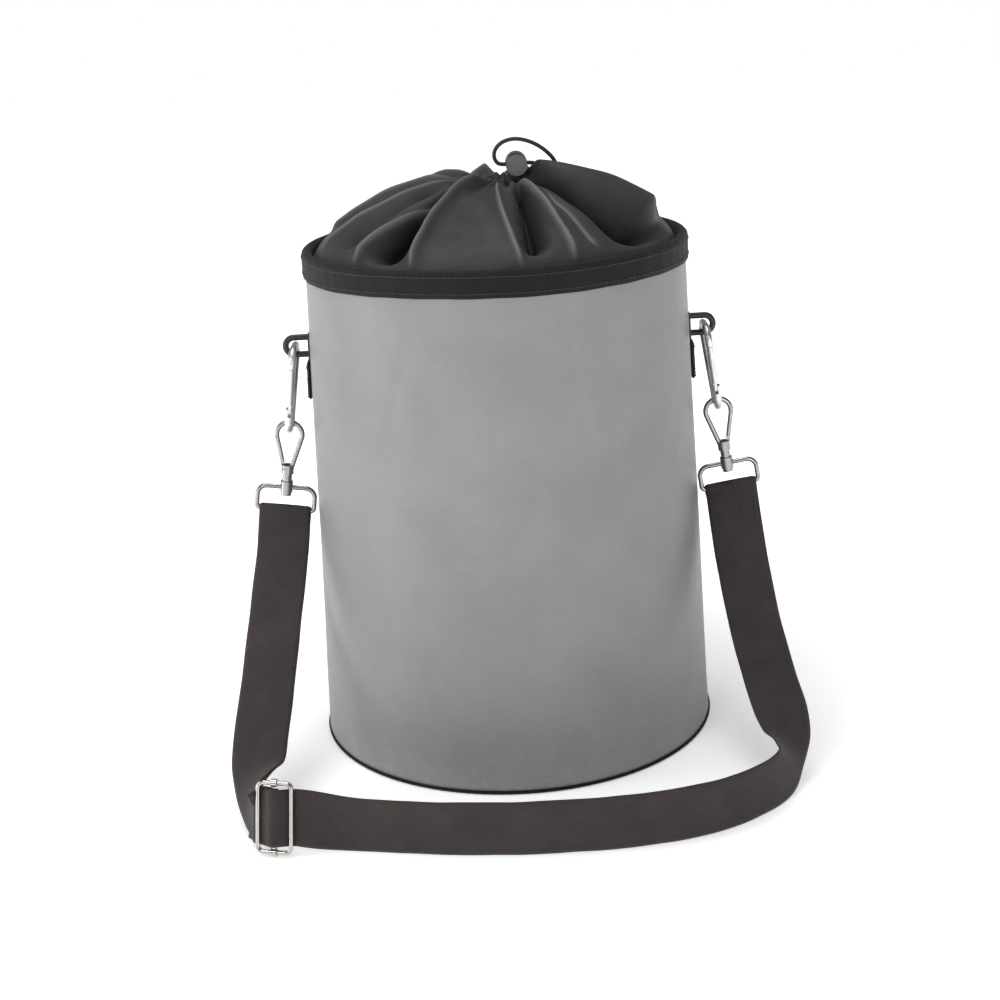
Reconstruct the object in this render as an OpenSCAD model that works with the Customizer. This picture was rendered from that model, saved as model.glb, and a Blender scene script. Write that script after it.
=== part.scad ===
// Rope storage bag: an upright fabric tube with a gathered collar, a drawcord with a lock,
// and a webbing strap that hangs from two side loops on carabiners and swivel snap hooks.
// +Z is up, the strap lies towards -Y, +X is on the right seen from there, and the origin is
// the centre of the base, on the floor.

/* [Bag] */
// Radius of the wall where it meets the floor
base_r = 146; // [144:0.5:148]
// Radius of the wall at its top edge
top_r = 135; // [134.8:0.1:135.2]
// Height of the rim binding's lower edge
rim_z = 347; // [346:0.5:348]
// Thickness of the wall panel
wall_t = 1.6; // [1.2:0.1:2]
// Height of the collar above the rim
collar_h = 54; // [52:0.5:54]

/* [Strap] */
// Width of the webbing
web_w = 38; // [25:1:38]
// Thickness of the webbing
web_t = 1.8; // [1.2:0.1:1.8]

/* [Side hardware] */
// Height of the side loop's lower arc
loop_z = 288; // [270:1:290]
// How far the hanging hardware leans outwards
lean = 8.2; // [8:0.1:8.4]
// Length of a carabiner between the centres of its end rods
krab_len = 61.5; // [60:0.5:64]
// Radius of a carabiner's rod
krab_r = 2.75; // [2.5:0.05:2.75]
// Radius of a snap hook's rod
hook_r = 1.9; // [1.6:0.1:1.9]

/* [Drawcord] */
// Diameter of the drawcord
cord_d = 2.8; // [2:0.1:2.8]
// Radius of the cord lock's barrel
lock_r = 7.5; // [7.2:0.1:7.5]

/* [Hidden] */
$fn = 64;
left = -1;
right = 1;
gap = 0.3;
run_fit = 0.05;

// bag
function wall_r(z) = base_r + (top_r - base_r) * z / 350;
piping_r = 2.5;
wall_z0 = 2 * piping_r + 0.2;
wall_z1 = rim_z + 9;
base_t = 2;
board_t = 3;
binding_in = top_r - 5.5;
binding_w = 7.6;
binding_t = 1.8;
binding_mid = binding_in + binding_w / 2;
binding_arc_z = rim_z + 14.8;
hoop_r = 1.8;

// collar and its gathered mouth
collar_r = binding_in - gap;
collar_z0 = rim_z + 3;
dome_z0 = rim_z + 11;
dome_power = 0.72;
collar_t = 2.2;
mouth_x = 10;
mouth_y = -5;
hem_r = 21.7;
hem_hole_r = 8;
hem_z0 = 399;
hem_z1 = 410;
function dome_z(r) = dome_z0 + collar_h * pow(1 - pow(r / collar_r, 2), dome_power);

// cord lock
lock = [18, -18, 418.2];
lock_front = 6;
lock_back = 11;
lock_wall = 1.9;
plunger_r = lock_r - lock_wall - gap;
button_travel = 3.5;
cord_bore = 1.9;

// side hardware, measured down the leaning line from the carabiner's top rod
loop_tube = 2.25;
loop_arc = 6.25;
loop_x = 148.5;
krab_top_z = loop_z + loop_tube + krab_r + gap;
hook_drop = krab_len - krab_r - hook_r - 0.55;
krab_corner = 10;
krab_half = 7;
krab_foot = 9;
hook_arc = 9.3;
hook_foot = 2.4;
hook_neck = 36;
hook_pin = [2.7, -35.1];
hook_pin_r = 0.8;
post_r = 2.5;
barrel_r = 4.6;
barrel_top = 45;
barrel_end = 53.5;
ring_mid = 58.5;
ring_x = 21.2;
ring_z = 8.7;
ring_corner = 7;
ring_foot_corner = 2.6;
ring_rod = 1.8;
bar_drop = ring_mid + ring_z;
bar_x = loop_x + (hook_drop + bar_drop) * sin(lean);
bar_z = krab_top_z - (hook_drop + bar_drop) * cos(lean);

// adjuster
adj = [-165, -209.5, 26];
adj_turn = -14;
adj_tip = -15;
adj_len = 46;
adj_w = 23;
adj_rod = 1.6;

// Drawcord: from the hem through the lock, up in a loop and down into the collar again
CORD = [[31, -11.6, 410.8], [32.6, -14, 414], [31, -17, 417.2], [26.8, -18, 418.2],
    [17, -18, 418.2], [7.2, -18, 418.2], [3.8, -18, 420.8], [3, -18, 425.4], [5.2, -18, 430],
    [10, -17.6, 433.4], [17, -17, 434.8], [25, -16, 433.4], [33, -14, 429.6], [40, -12, 424],
    [45, -10, 417.5], [47, -9, 409.6]];

// Strap, right ring to left ring: a point on its middle line and the way its width runs
RAMP_R = [[[166.6, -6.6, 164.5], [-1, 0, -0.144]], [[168, -22, 140], [-1, 0, -0.1]],
    [[170, -38, 118], [-1, 0, -0.05]], [[172, -58, 96], [-1, 0, 0]], [[174.5, -80, 78], [-1, 0, 0]],
    [[177.5, -105, 61], [-1, 0, 0]], [[180.5, -128, 48], [-1, 0.1, 0.1]],
    [[182, -145, 38], [-0.9, 0.1, 0.45]], [[182, -158, 29], [-0.55, 0, 0.85]],
    [[179, -170, 22], [-0.25, 0, 1]]];
FRONT = [[[170, -183, 19.8], [-0.1, 0, 1]], [[156, -196, 19.3], [0, 0, 1]],
    [[138, -208, 19.3], [0, 0, 1]], [[119, -217, 19.3], [0, 0, 1]], [[94, -224, 19.3], [0, 0, 1]],
    [[66, -228.5, 19.3], [0, 0, 1]], [[30, -230.5, 19.3], [0, 0, 1]],
    [[-12, -229.5, 19.3], [0, 0, 1]], [[-52, -225, 19.3], [0, 0, 1]],
    [[-91, -217.5, 19.3], [0, 0, 1]], [[-125, -209, 20], [0, 0.08, 1]],
    [[-146, -206, 21.5], [0, 0.16, 1]], [[-156, -204.4, 22.5], [0, 0.2, 1]]];
RAMP_L = [[[-167, -202, 23], [0, 0.2, 1]], [[-175.5, -195.5, 23], [0.1, 0.2, 1]],
    [[-180.5, -184, 24.5], [0.35, 0.1, 1]], [[-182, -168, 31], [0.75, 0.05, 0.75]],
    [[-181.5, -151, 39], [1, 0.1, 0.3]], [[-180.5, -132, 50], [1, 0, 0]],
    [[-178.5, -110, 65], [1, 0, 0]], [[-176, -84, 85], [1, 0, 0]], [[-173.5, -60, 106], [1, 0, 0]],
    [[-170.5, -38, 128], [1, 0, -0.05]], [[-168, -20, 147], [1, 0, -0.1]],
    [[-166.6, -6.6, 164.5], [1, 0, -0.144]]];
wrap_r = ring_rod + gap + web_t / 2;
layer = web_t + 0.5;
twist_layer = layer + 1.2;
twist_rows = 6;

// ---- sweeping a section along a route of [point, width direction] ----

function unit(v) = v / norm(v);
function heading(route, i) =
    unit(route[min(i + 1, len(route) - 1)][0] - route[max(i - 1, 0)][0]);
function across(route, i) =
    let (t = heading(route, i), w = route[i][1]) unit(w - (w * t) * t);
function outward(route, i) = cross(heading(route, i), across(route, i));
function section_at(route, i, section) =
    [for (s = section) route[i][0] + s[0] * across(route, i) + s[1] * outward(route, i)];

module sweep(route, section) {
    n = len(section);
    last = len(route) - 1;
    points = [for (i = [0:last]) each section_at(route, i, section)];
    sides = [for (i = [0:last - 1]) for (j = [0:n - 1])
        let (a = i * n + j, b = i * n + (j + 1) % n)
        each [[a, a + n, b + n], [a, b + n, b]]];
    caps = [[for (j = [0:n - 1]) j], [for (j = [n - 1:-1:0]) last * n + j]];
    polyhedron(points = points, faces = concat(sides, caps), convexity = 10);
}

// A band whose quads are split at their middles, so that a twist bends it the same on both faces
module ribbon(route, section) {
    n = len(section);
    last = len(route) - 1;
    corners = [for (i = [0:last]) each section_at(route, i, section)];
    middles = [for (i = [0:last - 1]) for (j = [0:n - 1])
        let (a = i * n + j, b = i * n + (j + 1) % n)
        (corners[a] + corners[b] + corners[a + n] + corners[b + n]) / 4];
    sides = [for (i = [0:last - 1]) for (j = [0:n - 1])
        let (a = i * n + j, b = i * n + (j + 1) % n, m = len(corners) + a)
        each [[a, a + n, m], [a + n, b + n, m], [b + n, b, m], [b, a, m]]];
    caps = [[for (j = [0:n - 1]) j], [for (j = [n - 1:-1:0]) last * n + j]];
    polyhedron(points = concat(corners, middles), faces = concat(sides, caps), convexity = 10);
}

function round_section(r, n) = [for (j = [0:n - 1]) r * [cos(360 * j / n), sin(360 * j / n)]];
function flat_section(w, t) = [[w, t] / 2, [-w, t] / 2, [-w, -t] / 2, [w, -t] / 2];

// ---- closed rods bent round a list of circles [x, y, radius], counter-clockwise ----

function dir(a) = [cos(a), sin(a)];
function place(c) = [c[0], c[1]];
function normal_after(cs, i) =
    let (a = cs[i], b = cs[(i + 1) % len(cs)], d = place(b) - place(a))
    atan2(d[1], d[0]) - acos((a[2] - b[2]) / norm(d));
function leave_point(cs, i) = place(cs[i]) + cs[i][2] * dir(normal_after(cs, i));
function arrive_point(cs, i) =
    let (b = cs[(i + 1) % len(cs)]) place(b) + b[2] * dir(normal_after(cs, i));

module rod_between(p, q, r) {
    d = q - p;
    translate([p[0], p[1], 0])
        rotate([0, 90, atan2(d[1], d[0])])
            cylinder(h = norm(d), r = r);
}

// The straight stretches are a hair thinner than the bends and run a little way into them.
module bent_rod(cs, r, open_side = -1) {
    n = len(cs);
    thinner = 0.04;
    into = 0.15;
    for (i = [0:n - 1]) {
        from = normal_after(cs, (i + n - 1) % n);
        turn = (normal_after(cs, i) - from + 720) % 360;
        translate([cs[i][0], cs[i][1], 0])
            rotate([0, 0, from])
                rotate_extrude(angle = turn)
                    translate([cs[i][2], 0])
                        circle(r = r);
        if (i != open_side) {
            p = leave_point(cs, i);
            q = arrive_point(cs, i);
            along = into * unit(q - p);
            rod_between(p - along, q + along, r - thinner);
        }
    }
}

// ---- places ----

// Everything on a side is drawn on the right and turned half round for the left.
module on_side(s) {
    rotate([0, 0, s == left ? 180 : 0])
        children();
}

// Down the leaning line, with the carabiner's top rod at the origin
module at_krab(s) {
    on_side(s)
        translate([loop_x, 0, krab_top_z])
            rotate([0, -lean, 0])
                children();
}

module at_hook(s) {
    at_krab(s)
        translate([0, 0, -hook_drop])
            children();
}

// Turns a drawing in x and y so that it stands in the Y-Z plane, its -x side to the front
module edge_on(s) {
    rotate([90, 0, s * 90])
        children();
}

// Turns a drawing in x and y so that y runs up and it faces the front
module face_on() {
    rotate([90, 0, 0])
        children();
}

module at_adjuster() {
    translate(adj)
        rotate([adj_tip, 0, adj_turn])
            face_on()
                children();
}

// ---- bag ----

module wall_skin(z0, z1, inside, outside) {
    rotate_extrude()
        polygon([[wall_r(z0) + inside, z0], [wall_r(z0) + outside, z0],
            [wall_r(z1) + outside, z1], [wall_r(z1) + inside, z1]]);
}

module wall_patch(z0, z1, width, inside, outside) {
    intersection() {
        wall_skin(z0, z1, inside, outside);
        translate([top_r - 20, -width / 2, z0 - 1])
            cube([60, width, z1 - z0 + 2]);
    }
}

module wall_panel() {
    color([0.55, 0.55, 0.56])
        wall_skin(wall_z0, wall_z1, -wall_t, 0);
}

module base_panel() {
    color([0.08, 0.08, 0.08])
        cylinder(h = base_t, r = base_r - 2 * piping_r + 0.8);
}

module base_board() {
    color([0.2, 0.2, 0.2])
        translate([0, 0, base_t + 0.1])
            cylinder(h = board_t, r = base_r - 2 * piping_r);
}

module base_piping() {
    color([0.06, 0.06, 0.06])
        rotate_extrude()
            translate([base_r - 1.4, piping_r])
                circle(r = piping_r);
}

module rim_hoop() {
    color([0.3, 0.3, 0.3])
        rotate_extrude()
            translate([binding_mid, binding_arc_z])
                circle(r = hoop_r);
}

module rim_binding() {
    color([0.1, 0.1, 0.1])
        rotate_extrude()
            difference() {
                union() {
                    translate([binding_in, rim_z])
                        square([binding_w, binding_arc_z - rim_z]);
                    translate([binding_mid, binding_arc_z])
                        circle(d = binding_w);
                }
                translate([binding_in + binding_t, rim_z - 1])
                    square([binding_w - 2 * binding_t, binding_arc_z - rim_z + 1]);
                translate([binding_mid, binding_arc_z])
                    circle(d = binding_w - 2 * binding_t);
            }
}

module collar() {
    steps = 18;
    outer = [for (i = [0:steps]) collar_r * sin(90 * i / steps)];
    inner = [for (i = [steps:-1:0]) (collar_r - collar_t) * sin(90 * i / steps)];
    color([0.12, 0.12, 0.12])
        difference() {
            rotate_extrude()
                polygon(concat([for (r = outer) [r, dome_z(r)]],
                    [[collar_r, collar_z0], [collar_r - collar_t, collar_z0]],
                    [for (r = inner) [r, dome_z(r * collar_r / (collar_r - collar_t)) - collar_t]]));
            translate([mouth_x, mouth_y, hem_z0 - 10])
                cylinder(h = 40, r = hem_r);
        }
}

module collar_hem() {
    bulge = (hem_z1 - hem_z0) / 2;
    color([0.1, 0.1, 0.1])
        translate([mouth_x, mouth_y, 0])
            rotate_extrude()
                union() {
                    translate([hem_hole_r + bulge, hem_z0])
                        square([hem_r - hem_hole_r - bulge, 2 * bulge]);
                    translate([hem_hole_r + bulge, hem_z0 + bulge])
                        circle(r = bulge);
                }
}

module drawcord() {
    color([0.05, 0.05, 0.05])
        sweep([for (p = CORD) [p, [0, 1, 0]]], round_section(cord_d / 2, 8));
}

// ---- cord lock, its barrel along Y ----

module barrel(y0, y1, r) {
    translate([lock[0], y1, lock[2]])
        rotate([90, 0, 0])
            cylinder(h = y1 - y0, r = r);
}

module cord_hole(dy, r) {
    translate([lock[0] - 20, lock[1] + dy, lock[2]])
        rotate([0, 90, 0])
            cylinder(h = 40, r = r);
}

module lock_body() {
    color([0.1, 0.1, 0.1])
        difference() {
            barrel(lock[1] - lock_front, lock[1] + lock_back, lock_r);
            barrel(lock[1] - lock_front - 1, lock[1] + lock_back - 2, lock_r - lock_wall);
            cord_hole(0, cord_bore);
        }
}

module lock_button() {
    slot_front = -button_travel;
    color([0.5, 0.5, 0.5])
        difference() {
            union() {
                barrel(lock[1] - lock_front - 4, lock[1] + 4.6, plunger_r);
                barrel(lock[1] - lock_front - 7, lock[1] - lock_front - 3.9, lock_r - 0.4);
            }
            cord_hole(0, cord_bore);
            cord_hole(slot_front, cord_bore);
            translate([lock[0] - 20, lock[1] + slot_front, lock[2] - cord_bore])
                cube([40, button_travel, 2 * cord_bore]);
        }
}

module lock_spring() {
    coil_r = 3.6;
    turns = 3;
    y0 = lock[1] + 5.1;
    length = 3.4;
    steps = 14 * turns;
    route = [for (i = [0:steps])
        let (a = 360 * turns * i / steps)
        [[lock[0] + coil_r * cos(a), y0 + length * i / steps, lock[2] + coil_r * sin(a)], [0, 1, 0]]];
    color([0.75, 0.75, 0.75])
        sweep(route, round_section(0.4, 6));
}

// ---- side loops ----

module side_loop(s) {
    mid_z = loop_z + loop_arc;
    color([0.07, 0.07, 0.07])
        on_side(s)
            union() {
                wall_patch(260, mid_z + 9, 16, 0, 1.5);
                for (z = [loop_z, loop_z + 2 * loop_arc])
                    translate([wall_r(z) + 0.8, 0, z])
                        rotate([0, 90, 0])
                            cylinder(h = loop_x - wall_r(z) - 0.8, r = loop_tube);
                translate([loop_x, 0, mid_z])
                    rotate([90, 0, 0])
                        rotate([0, 0, -90])
                            rotate_extrude(angle = 180)
                                translate([loop_arc, 0])
                                    circle(r = loop_tube);
            }
}

module side_tab(s) {
    color([0.1, 0.1, 0.1])
        on_side(s)
            difference() {
                wall_patch(257, loop_z - loop_tube - 2, 23, 0, 2.6);
                wall_patch(259.8, loop_z, 16.4, -1, 1.6);
            }
}

// ---- carabiners ----

function krab_circles() = [[0, krab_foot - krab_len, krab_foot],
    [krab_half, -krab_corner, krab_corner], [-krab_half, -krab_corner, krab_corner]];
krab_gate_side = 2;
krab_nose = leave_point(krab_circles(), krab_gate_side);
krab_heel = arrive_point(krab_circles(), krab_gate_side);
krab_line = unit(krab_nose - krab_heel);
krab_turn = atan2(krab_line[1], krab_line[0]);
krab_hinge = krab_heel + 8.5 * krab_line;
krab_fork_r = 3.2;
krab_slot = 1.2;

// A flat ear of thickness t between heights z0 and z0 + t, round its hinge at p
module ear(p, turn, reach, r, z0, t) {
    translate([p[0], p[1], z0])
        rotate([0, 0, turn])
            linear_extrude(t)
                union() {
                    circle(r = r);
                    translate([0, -r])
                        square([reach, 2 * r]);
                }
}

module carabiner_frame(s) {
    color([0.8, 0.8, 0.82])
        at_krab(s)
            edge_on(s)
                difference() {
                    union() {
                        bent_rod(krab_circles(), krab_r, krab_gate_side);
                        rod_between(krab_heel - krab_line, krab_hinge + 2.6 * krab_line, krab_fork_r);
                    }
                    translate([krab_hinge[0], krab_hinge[1], -krab_slot])
                        rotate([0, 0, krab_turn])
                            translate([-3.2, -5, 0])
                                cube([10, 10, 2 * krab_slot]);
                    translate([krab_hinge[0], krab_hinge[1], -10])
                        cylinder(h = 20, r = 1);
                }
}

module carabiner_gate(s) {
    color([0.72, 0.72, 0.74])
        at_krab(s)
            edge_on(s)
                difference() {
                    union() {
                        rod_between(krab_hinge + 5.2 * krab_line, krab_nose - 0.5 * krab_line,
                            krab_r - 0.15);
                        ear(krab_hinge, krab_turn, 6.5, 2.4, -0.9, 1.8);
                    }
                    translate([krab_hinge[0], krab_hinge[1], -10])
                        cylinder(h = 20, r = 1 + run_fit);
                }
}

module carabiner_pin(s) {
    color([0.6, 0.6, 0.62])
        at_krab(s)
            edge_on(s)
                translate([krab_hinge[0], krab_hinge[1], -2.8])
                    cylinder(h = 5.6, r = 1);
}

// ---- snap hooks ----

function hook_circles() = [[0, -hook_arc, hook_arc], [0, -hook_neck, hook_foot]];
hook_gate_side = 1;
hook_heel = leave_point(hook_circles(), hook_gate_side);
hook_nose = arrive_point(hook_circles(), hook_gate_side);
hook_line = unit(hook_nose - hook_heel);
hook_turn = atan2(hook_line[1], hook_line[0]);
hook_slot = 1.1;

module hook_body(s) {
    color([0.8, 0.8, 0.82])
        at_hook(s)
            difference() {
                union() {
                    face_on()
                        bent_rod(hook_circles(), hook_r, hook_gate_side);
                    translate([0, 0, -39.2])
                        cylinder(h = 6.6, r = 4.7);
                    translate([0, 0, -barrel_top + gap])
                        cylinder(h = 6, r = 3.6);
                    translate([0, 0, -barrel_end - 1])
                        cylinder(h = 14, r = post_r);
                    translate([0, 0, -barrel_end - gap - 2.2])
                        cylinder(h = 2.2, r = 3.8);
                }
                translate([-0.8, -hook_slot, -38.1])
                    cube([10, 2 * hook_slot, 12]);
                face_on()
                    translate([hook_pin[0], hook_pin[1], -10])
                        cylinder(h = 20, r = hook_pin_r);
            }
}

module hook_gate(s) {
    color([0.72, 0.72, 0.74])
        at_hook(s)
            face_on()
                difference() {
                    union() {
                        rod_between(hook_heel + 7.2 * hook_line, hook_nose - 0.4 * hook_line, 1.7);
                        ear(hook_pin, hook_turn, 8.2, 1.6, -0.85, 1.7);
                    }
                    translate([hook_pin[0], hook_pin[1], -10])
                        cylinder(h = 20, r = hook_pin_r + run_fit);
                }
}

module hook_pin(s) {
    half = 3.6;
    color([0.6, 0.6, 0.62])
        at_hook(s)
            face_on()
                translate([hook_pin[0], hook_pin[1], -half])
                    cylinder(h = 2 * half, r = hook_pin_r);
}

module strap_ring(s) {
    circles = [for (c = [[1, 1], [-1, 1], [-1, -1], [1, -1]])
        let (r = c[1] > 0 ? ring_corner : ring_foot_corner)
        [c[0] * (ring_x - r), c[1] * (ring_z - r), r]];
    color([0.8, 0.8, 0.82])
        at_hook(s)
            difference() {
                union() {
                    translate([0, 0, -ring_mid])
                        face_on()
                            bent_rod(circles, ring_rod);
                    translate([0, 0, -barrel_end])
                        cylinder(h = barrel_end - barrel_top, r = barrel_r);
                }
                translate([0, 0, -barrel_end - 5])
                    cylinder(h = barrel_end - barrel_top + 10, r = post_r + run_fit);
            }
}

// ---- strap ----

// Over a ring's lower bar, from the angle a0 to a1 measured from +Y
function wrap(s, a0, a1) = [for (i = [0:7])
    let (a = a0 + (a1 - a0) * i / 7, up = [-s * sin(lean), 0, cos(lean)])
    [[s * bar_x, 0, bar_z] + wrap_r * (cos(a) * [0, 1, 0] + sin(a) * up),
     [-s * cos(lean), 0, -sin(lean)]]];

// Where a turned-back layer comes round below the bar
function below_bar(s) = [[s * (bar_x + 0.4), 2.2, bar_z - 4.9], [-s, 0, -0.144]];

// The layer of webbing on the bag's side of a route's row
function lined(route, i, apart = layer) = [route[i][0] + apart * outward(route, i), route[i][1]];

module strap_webbing() {
    folded_end = [for (i = [2:-1:0]) lined(RAMP_R, i)];
    to_adjuster = [for (i = [len(RAMP_L) - 1:-1:2])
        lined(RAMP_L, i, i < twist_rows ? twist_layer : layer)];
    route = concat(folded_end, [below_bar(right)], wrap(right, -20, 185), RAMP_R, FRONT, RAMP_L,
        wrap(left, 185, -20), [below_bar(left)], to_adjuster);
    color([0.2, 0.19, 0.19])
        ribbon(route, flat_section(web_w, web_t));
}

module adjuster_frame() {
    corner = 4;
    circles = [for (c = [[1, 1], [-1, 1], [-1, -1], [1, -1]])
        [c[0] * (adj_w / 2 - corner), c[1] * (adj_len / 2 - corner), corner]];
    color([0.85, 0.85, 0.86])
        at_adjuster()
            bent_rod(circles, adj_rod);
}

module adjuster_bar() {
    eye = adj_rod + 0.1;
    color([0.85, 0.85, 0.86])
        at_adjuster()
            difference() {
                union() {
                    rotate([90, 0, 0])
                        cylinder(h = adj_len + 5, r = 1.5, center = true);
                    for (y = [-adj_len / 2, adj_len / 2])
                        translate([0, y, 0])
                            rotate([0, 90, 0])
                                cylinder(h = 4, r = adj_rod + 1.1, center = true);
                }
                for (y = [-adj_len / 2, adj_len / 2])
                    translate([0, y, 0])
                        rotate([0, 90, 0])
                            cylinder(h = 12, r = eye, center = true);
            }
}

wall_panel();
base_panel();
base_board();
base_piping();
rim_hoop();
rim_binding();
collar();
collar_hem();
drawcord();
lock_body();
lock_button();
lock_spring();
side_tab(left);  // side_tab_left
side_tab(right);  // side_tab_right
side_loop(left);  // side_loop_left
side_loop(right);  // side_loop_right
carabiner_frame(left);  // carabiner_frame_left
carabiner_frame(right);  // carabiner_frame_right
carabiner_gate(left);  // carabiner_gate_left
carabiner_gate(right);  // carabiner_gate_right
carabiner_pin(left);  // carabiner_pin_left
carabiner_pin(right);  // carabiner_pin_right
hook_body(left);  // hook_body_left
hook_body(right);  // hook_body_right
hook_gate(left);  // hook_gate_left
hook_gate(right);  // hook_gate_right
hook_pin(left);  // hook_pin_left
hook_pin(right);  // hook_pin_right
strap_ring(left);  // strap_ring_left
strap_ring(right);  // strap_ring_right
strap_webbing();
adjuster_frame();
adjuster_bar();
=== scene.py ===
"""Rope storage bag: fabric, webbing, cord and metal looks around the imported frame."""
import math

import bmesh
import bpy
import numpy as np
from mathutils import Matrix, Vector


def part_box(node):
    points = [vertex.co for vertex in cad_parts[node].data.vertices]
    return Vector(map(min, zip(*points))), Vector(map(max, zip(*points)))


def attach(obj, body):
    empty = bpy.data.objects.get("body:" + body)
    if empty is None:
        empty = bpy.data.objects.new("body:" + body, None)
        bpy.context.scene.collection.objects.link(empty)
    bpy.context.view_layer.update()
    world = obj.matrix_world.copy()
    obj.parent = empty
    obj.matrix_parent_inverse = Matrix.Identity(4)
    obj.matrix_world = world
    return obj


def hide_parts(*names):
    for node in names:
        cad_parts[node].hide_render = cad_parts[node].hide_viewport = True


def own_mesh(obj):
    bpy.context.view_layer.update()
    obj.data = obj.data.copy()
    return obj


MM = 0.001
SIDES = {"left": -1, "right": 1}
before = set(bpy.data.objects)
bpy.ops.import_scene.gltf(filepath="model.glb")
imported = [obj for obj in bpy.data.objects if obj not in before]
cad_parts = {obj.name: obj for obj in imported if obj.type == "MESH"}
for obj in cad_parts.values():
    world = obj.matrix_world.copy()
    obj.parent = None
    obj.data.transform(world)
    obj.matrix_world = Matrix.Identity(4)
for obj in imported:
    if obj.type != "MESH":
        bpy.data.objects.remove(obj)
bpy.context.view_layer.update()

# ---- sizes read from the frame, in metres ----

BASE_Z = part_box("wall_panel")[0].z
BASE_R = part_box("wall_panel")[1].x
BINDING_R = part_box("rim_binding")[1].x
RIM_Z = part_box("rim_binding")[0].z
RIM_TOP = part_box("rim_binding")[1].z
HEM_LOW, HEM_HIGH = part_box("collar_hem")
HEM = (HEM_LOW + HEM_HIGH) / 2
COLLAR_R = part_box("collar")[1].x
COLLAR_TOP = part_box("collar")[1].z
BINDING_SKIN = 1.8 * MM
BINDING_W = 7.6 * MM
TOP_R = BINDING_R - BINDING_SKIN
WALL_TAPER = (BASE_R - TOP_R) / (RIM_Z - BASE_Z)


# ================ camera ================

def aim_camera():
    """The picture's viewpoint: in front of the bag, above its middle, tilted down, a little rolled."""
    distance, height, sideways = 1.226, 0.559, -0.006
    pitch, roll = math.radians(17.65), math.radians(3.15)
    data = bpy.data.cameras.new("camera")
    data.lens = 62.1
    data.sensor_width = 36
    data.dof.use_dof = False
    cam = bpy.data.objects.new("camera", data)
    bpy.context.scene.collection.objects.link(cam)
    turn = Matrix.Rotation(math.pi / 2 - pitch, 4, "X") @ Matrix.Rotation(-roll, 4, "Z")
    cam.matrix_world = Matrix.Translation((sideways, -distance, height)) @ turn
    bpy.context.scene.camera = cam


# ================ mesh helpers ================

def smoothstep(x):
    x = np.clip(x, 0, 1)
    return x * x * (3 - 2 * x)


def bump(x, centre, width):
    """A round hump of height 1 and the given half width."""
    return np.exp(-((x - centre) / width) ** 2)


def link(name, verts, faces, uvs=None):
    """A smooth mesh object in the scene. uvs has one (u, v) for each vertex."""
    mesh = bpy.data.meshes.new(name)
    mesh.from_pydata([tuple(v) for v in verts], [], [tuple(f) for f in faces])
    if uvs is not None:
        layer = mesh.uv_layers.new(name="UVMap")
        loop_verts = np.zeros(len(mesh.loops), int)
        mesh.loops.foreach_get("vertex_index", loop_verts)
        layer.data.foreach_set("uv", np.asarray(uvs)[loop_verts].astype(np.float32).ravel())
    mesh.polygons.foreach_set("use_smooth", [True] * len(mesh.polygons))
    mesh.update()
    obj = bpy.data.objects.new(name, mesh)
    bpy.context.scene.collection.objects.link(obj)
    return obj


def grid_faces(rows, cols, close_cols=False, start=0):
    """Quads of a grid of points, rows by cols, whose first point has the index start."""
    faces = []
    for i in range(rows - 1):
        here = start + i * cols
        above = here + cols
        for j in range(cols if close_cols else cols - 1):
            k = (j + 1) % cols
            faces.append([here + j, here + k, above + k, above + j])
    return faces


def grid(name, points, u, v, close_cols=False):
    """A grid of points, rows by cols, with u along its columns and v along its rows, both in metres.
    A grid that closes round its columns has its first column again as the last."""
    rows, cols = points.shape[:2]
    uv = np.stack(np.broadcast_arrays(u, v), -1).reshape(-1, 2)
    obj = link(name, points.reshape(-1, 3), grid_faces(rows, cols), uv)
    if close_cols:
        weld(obj)
    return obj


def weld(obj, distance=1e-6):
    """Joins the vertices of a mesh that lie within distance of each other, in metres."""
    bm = bmesh.new()
    bm.from_mesh(obj.data)
    bmesh.ops.remove_doubles(bm, verts=bm.verts, dist=distance)
    bm.to_mesh(obj.data)
    bm.free()


def joined(name, parts):
    """One mesh from a list of (verts, faces, uvs)."""
    verts, faces, uvs, n = [], [], [], 0
    for v, f, t in parts:
        verts.append(np.asarray(v))
        faces += [[i + n for i in face] for face in f]
        uvs.append(np.asarray(t))
        n += len(v)
    return link(name, np.concatenate(verts), faces, np.concatenate(uvs))


def modifier(obj, kind, **settings):
    """A modifier of that kind on obj, with its settings."""
    m = obj.modifiers.new(kind.lower(), kind)
    for key, value in settings.items():
        setattr(m, key, value)
    return m


def unit(v):
    v = np.asarray(v, float)
    return v / np.linalg.norm(v, axis=-1, keepdims=True)


def catmull(points, steps):
    """A smooth curve through a list of points, with that many steps between two of them."""
    p = np.asarray(points, float)
    p = np.vstack([2 * p[0] - p[1], p, 2 * p[-1] - p[-2]])
    out = []
    for i in range(1, len(p) - 2):
        for t in np.arange(steps) / steps:
            a, b, c, d = p[i - 1], p[i], p[i + 1], p[i + 2]
            out.append(0.5 * (2 * b + (c - a) * t + (2 * a - 5 * b + 4 * c - d) * t ** 2
                              + (3 * b - a - 3 * c + d) * t ** 3))
    out.append(p[-2])
    return np.array(out)


def along(path):
    """Distance from the start of each point of a path."""
    return np.concatenate([[0], np.cumsum(np.linalg.norm(np.diff(path, axis=0), axis=1))])


def evened(path, step):
    """The same path with evenly spaced points about step apart."""
    s = along(path)
    n = max(2, int(round(s[-1] / step)))
    t = np.linspace(0, s[-1], n + 1)
    return np.stack([np.interp(t, s, path[:, k]) for k in range(path.shape[1])], 1)


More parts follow.
